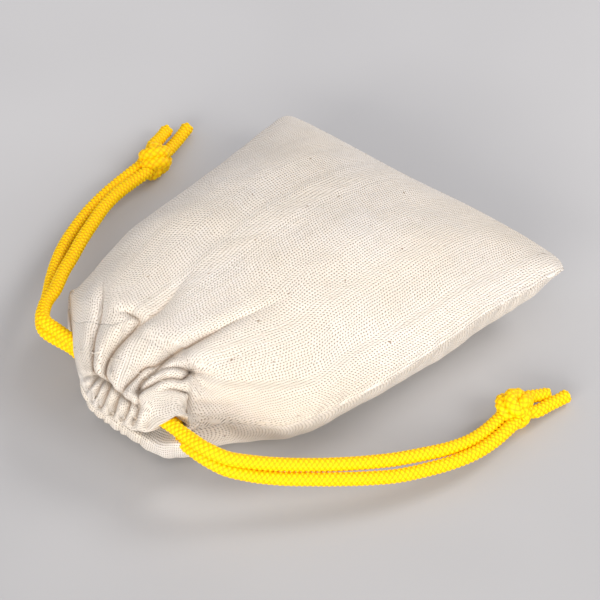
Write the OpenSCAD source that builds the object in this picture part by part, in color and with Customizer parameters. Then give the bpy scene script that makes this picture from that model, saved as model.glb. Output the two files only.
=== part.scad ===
/* [Pouch body] */
// Width of the filled pouch across its bottom corners
pouch_w = 72; // [66:1:78]
// Length from the mouth edge to the middle of the bottom fold
pouch_l = 89; // [86:1:94]
// Height of the filled body above the seam line
puff_up = 18; // [14:0.5:20]
// Height of the seam line over the surface at mid length
seam_z = 8.5; // [7.5:0.5:9.5]
// Thickness of the cloth walls
cloth_t = 1; // [0.6:0.1:1.2]
// How far the bottom fold bows out between its corners
bottom_bow = 3.6; // [1:0.2:5]

/* [Mouth and casings] */
// Sideways place of the drawn mouth, from the middle of the pouch
mouth_x = -4.5; // [-6:0.5:0]
// Width of the drawn front casing
front_casing_w = 25; // [23:0.5:25]
// Width of the drawn back casing
back_casing_w = 14.5; // [12:0.5:14.5]
// Depth of the casing hem, from the mouth edge to its stitching
casing_d = 12.9; // [12.9:0.1:14]
// Wall of the casing's channel
casing_wall = 0.8; // [0.6:0.1:1]
// Free height between the two casings
mouth_gap = 4.8; // [4.6:0.1:5.2]

/* [Drawcords] */
// Diameter of the braided cord
cord_d = 2.5; // [2:0.1:2.5]
// Spacing between the two strands of a cord, centre to centre
strand_gap = 2.6; // [2.6:0.1:2.8]
// Outer diameter of each overhand knot
knot_d = 7.4; // [6.4:0.2:8]

/* [Stitching] */
// Length of one stitch
stitch_l = 2.2; // [1.6:0.1:2.6]
// Pitch of the stitches
stitch_pitch = 3; // [2.8:0.1:3.6]

/* [Hidden] */

muslin = [0.89, 0.85, 0.78];
muslin_hem = [0.84, 0.79, 0.71];
thread = [0.95, 0.93, 0.88];
cord_yellow = [1.0, 0.74, 0.0];

// ---- mouth levels: back casing low, front casing high, the gap between them
mouth_y = -44.5;                 // edge of the mouth
seam_y = -31.3;                  // where the panels start, behind the casings
channel_h = 3.2;                 // clear height of a casing's channel
casing_h = channel_h + 2 * casing_wall;
back_z0 = 0.6;
back_z1 = back_z0 + casing_h;
front_z0 = back_z1 + mouth_gap;
front_z1 = front_z0 + casing_h;
back_cord_z = back_z0 + casing_wall + channel_h / 2;
front_cord_z = front_z0 + casing_wall + channel_h / 2;
right_lane = -39.8;              // the right cord's line across the casings
left_lane = -36.8;               // the left cord's line across the casings
front_x0 = mouth_x - front_casing_w / 2;
front_x1 = mouth_x + front_casing_w / 2;
back_x0 = mouth_x - 0.75 - back_casing_w / 2;
back_x1 = mouth_x - 0.75 + back_casing_w / 2;

// ---- outline and profile of the filled body, along v from 0 at the casings to 1 at the fold
body_len = pouch_l + mouth_y - bottom_bow - seam_y;
half_w_table = [[0, 15], [0.04, 19.5], [0.09, 22.8], [0.15, 25.8], [0.25, 29],
                [0.4, 31.4], [0.55, 32.8], [0.7, 33.8], [0.85, 35], [0.95, 36], [1, 35.2]];
up_table = [[0, 0], [0.05, 0.3], [0.1, 0.52], [0.2, 0.77], [0.3, 0.93], [0.4, 1],
            [0.5, 1], [0.6, 0.955], [0.7, 0.86], [0.8, 0.69], [0.88, 0.5], [0.94, 0.33],
            [0.98, 0.18], [1, 0]];
down_table = [[0, 0.62], [0.08, 0.85], [0.16, 1], [0.75, 1], [0.85, 0.86], [0.93, 0.6],
              [0.98, 0.33], [1, 0]];
seam_table = [[0, -0.7], [0.3, -0.3], [0.6, 0.1], [0.8, 1.1], [1, 3.5]];

function half_w(v) = lookup(v, half_w_table) * (1 + (pouch_w / 72 - 1) * min(1, v * 4));
function mid_x(v) = v < 0.5 ? mouth_x * pow(1 - v / 0.5, 2) : 0;
function seam_h(v) = seam_z + lookup(v, seam_table);
function start_up() = front_z1 - seam_h(0);
function up_h(v) = v >= 1 ? 0
    : start_up() * max(0, 1 - v / 0.4) + (puff_up - start_up() * max(0, 1 - v / 0.4)) * lookup(v, up_table);
function round_up(u) = pow(max(0, 1 - pow(abs(u), 2.4)), 0.62);
function round_down(u) = pow(max(0, 1 - pow(abs(u), 3)), 0.8);
function along(u, v, cut) = seam_y + v * (body_len - cut) + bottom_bow * v * v * (1 - u * u);

// height of the outside of the cloth over the surface
function top_z(u, v) = seam_h(v) + up_h(v) * round_up(u);
function low_z(u, v) = v == 0
    ? max(back_z0, seam_h(0) - (seam_h(0) - back_z0 + 2) * round_down(u))
    : max(0, seam_h(v) - (seam_h(v) + 3.5) * lookup(v, down_table) * round_down(u));

function outer_pt(u, v, up) = [mid_x(v) + u * half_w(v), along(u, v, 0), up ? top_z(u, v) : low_z(u, v)];
function inner_pt(u, v, up) = [mid_x(v) + u * (half_w(v) - cloth_t), along(u, v, cloth_t),
    up ? seam_h(v) + max(0, top_z(u, v) - seam_h(v) - cloth_t)
       : seam_h(v) - max(0, seam_h(v) - low_z(u, v) - cloth_t)];

nu = 28;
nv = 26;
function u_at(i) = sin(-90 + 180 * i / nu);
function v_at(j) = sin(90 * j / nv);

// One wall of the body: a curved sheet whose rim lies on the seam line
module panel(up) {
    outer = [for (j = [0:nv]) for (i = [0:nu]) outer_pt(u_at(i), v_at(j), up)];
    inner = [for (j = [0:nv]) for (i = [0:nu]) inner_pt(u_at(i), v_at(j), up)];
    n = (nu + 1) * (nv + 1);
    w = nu + 1;
    sheet = [for (j = [0:nv - 1]) for (i = [0:nu - 1])
        let (a = j * w + i) each [[a, a + w, a + w + 1], [a, a + w + 1, a + 1],
                                  [n + a, n + a + w + 1, n + a + w], [n + a, n + a + 1, n + a + w + 1]]];
    mouth_rim = [for (i = [0:nu - 1]) each i < nu / 2
        ? [[i, i + 1, n + i], [i + 1, n + i + 1, n + i]]
        : [[i, i + 1, n + i + 1], [i, n + i + 1, n + i]]];
    fold_rim = [for (i = [0:nu - 1]) let (a = nv * w + i) each [[a, n + a + 1, a + 1], [a, n + a, n + a + 1]]];
    left_rim = [for (j = [0:nv - 1]) let (a = j * w) each [[a, n + a + w, a + w], [a, n + a, n + a + w]]];
    right_rim = [for (j = [0:nv - 1]) let (a = j * w + nu) each [[a, a + w, n + a + w], [a, n + a + w, n + a]]];
    faces = concat(sheet, mouth_rim, fold_rim, left_rim, right_rim);
    polyhedron(points = concat(outer, inner),
               faces = up ? faces : [for (f = faces) [f[2], f[1], f[0]]]);
}

module front_panel() { color(muslin) panel(true); }
module back_panel() { color(muslin) panel(false); }

// ---- side seams: the allowance turned to the inside, along each edge
seam_w = 5;
seam_t = 0.9;
ns = 16;
function seam_v(k) = 0.1 + 0.78 * k / ns;
module side_seam(side) {
    pts = [for (k = [0:ns]) let (v = seam_v(k), y = along(1, v, cloth_t), z = seam_h(v),
                                 x = mid_x(v) + side * (half_w(v) - cloth_t + 0.2))
        each [[x, y, z - seam_t / 2], [x, y, z + seam_t / 2],
              [x - side * seam_w, y, z + seam_t / 2], [x - side * seam_w, y, z - seam_t / 2]]];
    walls = [for (k = [0:ns - 1]) for (c = [0:3])
        let (a = k * 4 + c, b = k * 4 + (c + 1) % 4) each [[a, b, b + 4], [a, b + 4, a + 4]]];
    ends = [[3, 2, 1], [3, 1, 0], [ns * 4, ns * 4 + 1, ns * 4 + 2], [ns * 4, ns * 4 + 2, ns * 4 + 3]];
    faces = concat(walls, ends);
    polyhedron(points = pts, faces = side > 0 ? [for (f = faces) [f[2], f[1], f[0]]] : faces);
}
module left_side_seam() { color(muslin_hem) side_seam(-1); }
module right_side_seam() { color(muslin_hem) side_seam(1); }

// Seam stitches pass through the allowance, a little way in from the edge
stitch_count = floor(0.74 * body_len / stitch_pitch);
module seam_stitches(side) {
    for (k = [0:stitch_count - 1]) {
        v = 0.12 + k * stitch_pitch / body_len;
        dv = 0.02;
        x = mid_x(v) + side * (half_w(v) - cloth_t - 1.5);
        dx = mid_x(v + dv) + side * half_w(v + dv) - mid_x(v) - side * half_w(v);
        dy = dv * body_len;
        translate([x, along(1, v, cloth_t), seam_h(v)])
            rotate([0, 0, -atan2(dx, dy)])
                translate([-0.2, 0, -seam_t / 2 - 0.15]) cube([0.4, stitch_l, seam_t + 0.3]);
    }
}
module left_seam_stitching() { color(thread) seam_stitches(-1); }
module right_seam_stitching() { color(thread) seam_stitches(1); }

// ---- casings: a hem folded round the cords and stitched down behind them
channel_y0 = -41.6;
channel_y1 = -35;
rear_y = mouth_y + casing_d;
hem_t = 1.8;                      // folded cloth at the stitch line

function front_outline() = [[rear_y, front_z1], [rear_y, front_z1 - hem_t], [-33.6, front_z1 - hem_t - 0.4],
    [-34.2, front_z0], [mouth_y + 0.9, front_z0], [mouth_y, front_z0 + 0.8],
    [mouth_y, front_z1 - 0.8], [mouth_y + 0.9, front_z1]];
function back_outline() = [[seam_y, back_z0], [mouth_y + 0.9, back_z0], [mouth_y, back_z0 + 0.8],
    [mouth_y, back_z1 - 0.8], [mouth_y + 0.9, back_z1], [-34.2, back_z1],
    [-33.8, back_z0 + hem_t], [seam_y, back_z0 + 1]];
module along_x(x0, x1) { translate([x0, 0, 0]) rotate([90, 0, 90]) linear_extrude(height = x1 - x0) children(); }
module channel(z0) { translate([channel_y0, z0 + casing_wall]) square([channel_y1 - channel_y0, channel_h]); }

slit_hem_w = 1.6;
module front_casing() {
    color(muslin) along_x(front_x0 + slit_hem_w, front_x1 - slit_hem_w)
        difference() { polygon(front_outline()); channel(front_z0); }
}
module back_casing() {
    color(muslin) along_x(back_x0 + slit_hem_w, back_x1 - slit_hem_w)
        difference() { polygon(back_outline()); channel(back_z0); }
}
// The turned edge at each end of a casing, where the cords come out
module front_slit_hems() {
    color(muslin_hem) for (x = [front_x0, front_x1 - slit_hem_w]) along_x(x, x + slit_hem_w)
        difference() { polygon(front_outline()); channel(front_z0); }
}
module back_slit_hems() {
    color(muslin_hem) for (x = [back_x0, back_x1 - slit_hem_w]) along_x(x, x + slit_hem_w)
        difference() { polygon(back_outline()); channel(back_z0); }
}
module hem_stitches(x0, x1, z) {
    n = floor((x1 - x0 - stitch_l - 1) / stitch_pitch);
    for (k = [0:n]) translate([x0 + 0.5 + k * stitch_pitch, -33.2, z]) cube([stitch_l, 0.4, 0.25]);
}
module front_casing_stitching() { color(thread) hem_stitches(front_x0 + slit_hem_w, front_x1 - slit_hem_w, front_z1); }
module back_casing_stitching() { color(thread) hem_stitches(back_x0 + slit_hem_w, back_x1 - slit_hem_w, back_z0 - 0.25); }

// ---- drawcords
cord_r = cord_d / 2;
function unit(a) = a / norm(a);
function tangent(p, i) = unit(i == 0 ? p[1] - p[0] : i == len(p) - 1 ? p[i] - p[i - 1]
    : unit(p[i + 1] - p[i]) + unit(p[i] - p[i - 1]));
// A round cord swept along the route p; side is any direction that the cord never runs along
module cord_tube(p, side) {
    n = len(p);
    pts = [for (i = [0:n - 1]) let (t = tangent(p, i), s = unit(cross(t, side)), q = cross(s, t))
        for (k = [0:7]) p[i] + cord_r * (cos(45 * k) * s + sin(45 * k) * q)];
    walls = [for (i = [0:n - 2]) for (k = [0:7]) let (a = i * 8 + k, b = i * 8 + (k + 1) % 8)
        each [[a, b, b + 8], [a, b + 8, a + 8]]];
    polyhedron(points = pts, faces = concat(walls, [[for (k = [0:7]) 7 - k]], [[for (k = [0:7]) (n - 1) * 8 + k]]));
}

// Runs inside the casings: s is 1 for the right cord, whose ends leave at the right, and -1 for the left
turn_r = 2.5;
climb_r = 5;
play = 0.3;
exit_up_z = front_cord_z;
exit_low_z = front_cord_z - strand_gap;
front_run_x = [10.5, -19.5];      // far end of the front run, on the side where the cord leaves
pivot_x = [15.5, -26];            // where the free strands begin to swing
turn_x = [front_x0 - 0.6, front_x1 + 0.6];   // start of the turn, on the other side
climb = exit_low_z - back_cord_z;
climb_a = acos(max(-1, 1 - climb / 2 / climb_r));
climb_len = 2 * climb_r * sin(climb_a);

module front_run(s) {
    k = s > 0 ? 0 : 1;
    x0 = min(front_run_x[k], turn_x[k] + s * play);
    x1 = max(front_run_x[k], turn_x[k] + s * play);
    translate([x0, s > 0 ? right_lane : left_lane, front_cord_z]) rotate([0, 90, 0])
        cylinder(d = cord_d, h = x1 - x0, $fn = 32);
}
// The turn round the far slit, the run through the back casing and the climb to the exit, as one length
function back_route(s) = let (k = s > 0 ? 0 : 1, y = s > 0 ? right_lane : left_lane, tx = turn_x[k], ex = pivot_x[k] - s * 1.5)
    concat([for (a = [0:30:90]) [tx - s * turn_r * sin(a), y, front_cord_z - turn_r * (1 - cos(a))]],
           [for (a = [90:30:180]) [tx - s * turn_r * sin(a), y, back_cord_z + turn_r * (1 + cos(a))]],
           [for (a = [0, 0.33, 0.67, 1]) [ex - s * (climb_len - climb_r * sin(a * climb_a)), y, back_cord_z + climb_r * (1 - cos(a * climb_a))]],
           [for (a = [0.67, 0.33, 0]) [ex - s * climb_r * sin(a * climb_a), y, exit_low_z - climb_r * (1 - cos(a * climb_a))]]);
module back_run(s) { cord_tube(back_route(s), [0, 1, 0]); }
// The upper strand between the front run and the place where the strands swing
module cord_exit(s) {
    k = s > 0 ? 0 : 1;
    a = front_run_x[k] + s * play;
    b = pivot_x[k] - s * 1.5;
    translate([min(a, b), s > 0 ? right_lane : left_lane, exit_up_z]) rotate([0, 90, 0])
        cylinder(d = cord_d, h = abs(b - a), $fn = 32);
}

// Free strands: the middle line between the two strands, and how far the pair has turned over
// on its way from one above the other at the slit to side by side on the surface
right_route = [[17, -39.8, 11.3], [21.5, -38.4, 10.4], [25.5, -35.3, 9.4], [29, -31.8, 8.5],
    [32.5, -28, 7.9], [36, -24, 7.4], [39.5, -19.5, 6.8], [42.5, -15, 6.2], [45, -10, 5.6],
    [47, -5, 4.9], [48.3, 0.5, 4.2], [48.5, 5.5, 3.8], [48.2, 9.9, 3.7]];
right_turn = [0, 10, 25, 40, 50, 55, 60, 60, 60, 65, 75, 80, 80];
right_spread = [1, 1, 1, 1, 1, 1.05, 1.15, 1.2, 1.15, 1.05, 1, 1, 1];
right_knot = [47.3, 13.3, 3.7];
left_route = [[-27.5, -36.8, 11.3], [-31.5, -33.6, 10.5], [-34.5, -28.7, 9.6], [-38, -23.8, 8.7],
    [-41, -19, 7.9], [-44, -13.7, 7.1], [-46.6, -8.2, 6.3], [-49, -2.3, 5.5], [-50.6, 3.8, 4.8],
    [-51.5, 9, 4.1], [-51.9, 13.6, 3.8]];
left_turn = [0, 15, 35, 50, 60, 60, 60, 60, 65, 75, 80];
left_spread = [1, 1, 1, 1.15, 1.4, 1.6, 1.6, 1.4, 1.15, 1, 1];
left_knot = [-52.1, 17, 3.7];

// One strand: the middle line moved by half the spacing, over the pouch side for strand a
function strand(route, turn, spread, s, half) = [for (i = [0:len(route) - 1])
    let (t = tangent(route, i), lift = exit_up_z - front_cord_z,
         inward = unit(cross([0, 0, s], t)), up = unit(cross(inward, t)) * -s,
         n = cos(turn[i]) * up + sin(turn[i]) * inward)
    route[i] + half * strand_gap / 2 * spread[i] * n];
module right_strand(half) { cord_tube(strand(right_route, right_turn, right_spread, 1, half), [0, 0, 1]); }
module left_strand(half) { cord_tube(strand(left_route, left_turn, left_spread, -1, half), [0, 0, 1]); }

// The cut tails past the knot, lying down on the surface
right_tail_a = [[47.1, 16.4, 4.1], [47.5, 19.4, 3.3], [47.6, 22.4, 2.4]];
right_tail_b = [[49.7, 15.5, 2.9], [50.4, 19.8, 2.1], [50.9, 24.3, 1.4]];
left_tail_a = [[-54.9, 19, 4.2], [-57, 22.9, 3.3], [-59, 26.8, 2.6]];
left_tail_b = [[-52.8, 20.2, 2.9], [-54.5, 25.4, 1.9], [-56.4, 30.7, 1.4]];

module right_cord_front_run() { color(cord_yellow) front_run(1); }
module right_cord_back_run() { color(cord_yellow) back_run(1); }
module right_cord_exit() { color(cord_yellow) cord_exit(1); }
module right_cord_strand_a() { color(cord_yellow) right_strand(1); }
module right_cord_strand_b() { color(cord_yellow) right_strand(-1); }
module right_cord_knot() { color(cord_yellow) translate(right_knot) sphere(d = knot_d, $fn = 48); }
module right_cord_tail_a() { color(cord_yellow) cord_tube(right_tail_a, [0, 0, 1]); }
module right_cord_tail_b() { color(cord_yellow) cord_tube(right_tail_b, [0, 0, 1]); }
module left_cord_front_run() { color(cord_yellow) front_run(-1); }
module left_cord_back_run() { color(cord_yellow) back_run(-1); }
module left_cord_exit() { color(cord_yellow) cord_exit(-1); }
module left_cord_strand_a() { color(cord_yellow) left_strand(1); }
module left_cord_strand_b() { color(cord_yellow) left_strand(-1); }
module left_cord_knot() { color(cord_yellow) translate(left_knot) sphere(d = knot_d, $fn = 48); }
module left_cord_tail_a() { color(cord_yellow) cord_tube(left_tail_a, [0, 0, 1]); }
module left_cord_tail_b() { color(cord_yellow) cord_tube(left_tail_b, [0, 0, 1]); }

front_panel();
back_panel();
left_side_seam();
right_side_seam();
left_seam_stitching();
right_seam_stitching();
front_casing();
front_casing_stitching();
front_slit_hems();
back_casing();
back_casing_stitching();
back_slit_hems();
right_cord_front_run();
right_cord_back_run();
right_cord_exit();
right_cord_strand_a();
right_cord_strand_b();
right_cord_knot();
right_cord_tail_a();
right_cord_tail_b();
left_cord_front_run();
left_cord_back_run();
left_cord_exit();
left_cord_strand_a();
left_cord_strand_b();
left_cord_knot();
left_cord_tail_a();
left_cord_tail_b();
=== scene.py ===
import math
import bpy
import numpy as np
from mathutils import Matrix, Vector


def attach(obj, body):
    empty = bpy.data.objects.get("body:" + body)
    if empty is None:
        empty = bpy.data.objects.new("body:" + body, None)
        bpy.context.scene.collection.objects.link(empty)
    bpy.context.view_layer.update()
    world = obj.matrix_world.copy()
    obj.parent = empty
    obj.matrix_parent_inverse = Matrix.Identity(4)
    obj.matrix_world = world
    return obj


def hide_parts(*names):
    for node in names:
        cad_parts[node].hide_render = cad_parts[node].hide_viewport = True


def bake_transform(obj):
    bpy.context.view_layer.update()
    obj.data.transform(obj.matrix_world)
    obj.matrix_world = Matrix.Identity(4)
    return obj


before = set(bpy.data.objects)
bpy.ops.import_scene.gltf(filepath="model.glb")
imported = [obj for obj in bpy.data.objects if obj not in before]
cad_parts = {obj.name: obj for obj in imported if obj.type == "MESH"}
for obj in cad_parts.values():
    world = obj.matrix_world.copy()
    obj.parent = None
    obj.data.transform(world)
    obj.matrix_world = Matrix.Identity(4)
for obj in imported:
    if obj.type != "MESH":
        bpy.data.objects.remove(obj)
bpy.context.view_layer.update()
MM = 0.001


def V(*a):
    return np.array(a, float)


# ------------------------------------------------------------------ camera
AZ, EL = math.radians(43), math.radians(44)
BACK = V(math.sin(AZ) * math.cos(EL), -math.cos(AZ) * math.cos(EL), math.sin(EL))
TARGET = V(0.002, 0.0025, 0.010)
cam_data = bpy.data.cameras.new("camera")
cam = bpy.data.objects.new("camera", cam_data)
bpy.context.scene.collection.objects.link(cam)
cam.location = Vector(TARGET + 0.6 * BACK)
cam.rotation_euler = Vector(-BACK).to_track_quat("-Z", "Y").to_euler()
cam_data.sensor_width = 36
cam_data.lens = 187.2
cam_data.clip_start = 0.01
cam_data.clip_end = 10
bpy.context.scene.camera = cam


# ------------------------------------------------------------------ helpers
def link(o):
    bpy.context.scene.collection.objects.link(o)
    return o


def make_mesh(name, verts, faces, uv=None, mat=None, smooth=True, attrs=None):
    """verts in mm; faces is an (n,4) or (n,3) array or list; uv per vertex in mm"""
    me = bpy.data.meshes.new(name)
    v = np.asarray(verts, float) * MM
    groups = faces if isinstance(faces, tuple) else (faces,)
    groups = [np.asarray(g, np.int32) for g in groups if len(g)]
    loops = np.concatenate([g.ravel() for g in groups])
    counts = np.concatenate([np.full(len(g), g.shape[1], np.int32) for g in groups])
    starts = np.concatenate([[0], np.cumsum(counts)[:-1]]).astype(np.int32)
    me.vertices.add(len(v))
    me.vertices.foreach_set("co", v.ravel())
    me.loops.add(len(loops))
    me.loops.foreach_set("vertex_index", loops)
    me.polygons.add(len(counts))
    me.polygons.foreach_set("loop_start", starts)
    me.polygons.foreach_set("loop_total", counts)
    me.polygons.foreach_set("use_smooth", np.full(len(counts), smooth))
    me.update(calc_edges=True)
    if uv is not None:
        layer = me.uv_layers.new(name="UVMap")
        layer.data.foreach_set("uv", (np.asarray(uv, float)[loops] * 0.01).ravel())
    for k, a in (attrs or {}).items():
        at = me.attributes.new(k, "FLOAT", "POINT")
        at.data.foreach_set("value", np.asarray(a, np.float32))
    me.validate()
    o = bpy.data.objects.new(name, me)
    if mat:
        me.materials.append(mat)
    return link(o)


def hermite(P, knots, s, mono=False):
    """P: (n, ..., 3) at knots; value at each s"""
    P = np.asarray(P, float)
    knots = np.asarray(knots, float)
    h = np.diff(knots)
    d = (P[1:] - P[:-1]) / h.reshape((-1,) + (1,) * (P.ndim - 1))
    m = np.empty_like(P)
    w = h.reshape((-1,) + (1,) * (P.ndim - 1))
    m[1:-1] = (d[:-1] * w[1:] + d[1:] * w[:-1]) / (w[:-1] + w[1:])
    m[0] = 1.5 * d[0] - 0.5 * m[1]
    m[-1] = 1.5 * d[-1] - 0.5 * m[-2]
    i = np.clip(np.searchsorted(knots, s, side="right") - 1, 0, len(knots) - 2)
    t = (np.asarray(s) - knots[i]) / h[i]
    sh = (-1,) + (1,) * (P.ndim - 1)
    t = t.reshape(sh)
    H = h[i].reshape(sh)
    return ((2 * t ** 3 - 3 * t ** 2 + 1) * P[i] + (t ** 3 - 2 * t ** 2 + t) * H * m[i]
            + (-2 * t ** 3 + 3 * t ** 2) * P[i + 1] + (t ** 3 - t ** 2) * H * m[i + 1])


def smooth01(x):
    x = np.clip(x, 0, 1)
    return x * x * (3 - 2 * x)


def grid_normals(P):
    du = np.gradient(P, axis=1)
    dv = np.gradient(P, axis=0)
    n = np.cross(du, dv)
    return n / np.maximum(np.linalg.norm(n, axis=2, keepdims=True), 1e-9)


def value_noise(x, y, seed, n=64):
    """smooth seeded noise in 2-D, about -1..1"""
    r = np.random.RandomState(seed).uniform(-1, 1, (n, n))
    xi, yi = np.floor(x).astype(int), np.floor(y).astype(int)
    fx, fy = smooth01(x - xi), smooth01(y - yi)
    a, b = r[yi % n, xi % n], r[yi % n, (xi + 1) % n]
    c, d = r[(yi + 1) % n, xi % n], r[(yi + 1) % n, (xi + 1) % n]
    return (a * (1 - fx) + b * fx) * (1 - fy) + (c * (1 - fx) + d * fx) * fy


def shell(name, P, uv, thick, mat, inside=-1, attrs=None, fray=0.0):
    """A cloth sheet from the grid of outer points P, closed into a wall of the given thickness"""
    nr, nc = P.shape[:2]
    N = grid_normals(P)
    Q = P + inside * N * thick
    idx = np.arange(nr * nc).reshape(nr, nc)
    quad = np.stack([idx[:-1, :-1], idx[:-1, 1:], idx[1:, 1:], idx[1:, :-1]], -1).reshape(-1, 4)
    m = nr * nc
    back = quad[:, ::-1] + m
    ring = np.concatenate([idx[0, :], idx[1:, -1], idx[-1, -2::-1], idx[-2:0:-1, 0]])
    nxt = np.roll(ring, -1)
    side = np.stack([nxt, ring, ring + m, nxt + m], -1)
    faces = np.concatenate([quad, back, side])
    if inside > 0:
        faces = faces[:, ::-1]
    verts = np.concatenate([P.reshape(-1, 3), Q.reshape(-1, 3)])
    uvs = np.concatenate([uv.reshape(-1, 2)] * 2)
    if attrs:
        attrs = {k: np.concatenate([a.ravel(), a.ravel()]) for k, a in attrs.items()}
    return make_mesh(name, verts, faces, uvs, mat, attrs=attrs)


def nodes_of(name):
    m = bpy.data.materials.new(name)
    m.use_nodes = True
    nt = m.node_tree
    nt.nodes.clear()
    out = nt.nodes.new("ShaderNodeOutputMaterial")
    b = nt.nodes.new("ShaderNodeBsdfPrincipled")
    nt.links.new(b.outputs[0], out.inputs[0])
    return m, nt, b


def mathn(nt, op, a, b=None, c=None, clamp=False):
    n = nt.nodes.new("ShaderNodeMath")
    n.operation = op
    n.use_clamp = clamp
    for i, x in enumerate((a, b, c)):
        if x is None:
            continue
        if isinstance(x, (int, float)):
            n.inputs[i].default_value = x
        else:
            nt.links.new(x, n.inputs[i])
    return n.outputs[0]


def mixc(nt, fac, a, b, mode="MIX"):
    n = nt.nodes.new("ShaderNodeMix")
    n.data_type = "RGBA"
    n.blend_type = mode
    for s, x in ((n.inputs[0], fac), (n.inputs[6], a), (n.inputs[7], b)):
        if isinstance(x, (int, float)):
            s.default_value = x
        elif isinstance(x, tuple):
            s.default_value = x + (1,) if len(x) == 3 else x
        else:
            nt.links.new(x, s)
    return n.outputs[2]


def noise(nt, vec, scale, detail=2, rough=0.5, dims="3D"):
    n = nt.nodes.new("ShaderNodeTexNoise")
    n.noise_dimensions = dims
    n.inputs["Scale"].default_value = scale
    n.inputs["Detail"].default_value = detail
    n.inputs["Roughness"].default_value = rough
    nt.links.new(vec, n.inputs["Vector"])
    return n.outputs["Fac"]


def ramp(nt, fac, lo, hi, a=0.0, b=1.0):
    n = nt.nodes.new("ShaderNodeMapRange")
    n.inputs["From Min"].default_value = lo
    n.inputs["From Max"].default_value = hi
    n.inputs["To Min"].default_value = a
    n.inputs["To Max"].default_value = b
    n.interpolation_type = "SMOOTHSTEP"
    nt.links.new(fac, n.inputs["Value"])
    return n.outputs[0]


# ------------------------------------------------------------------ materials
PITCH = 0.57      # mm between threads


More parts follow.
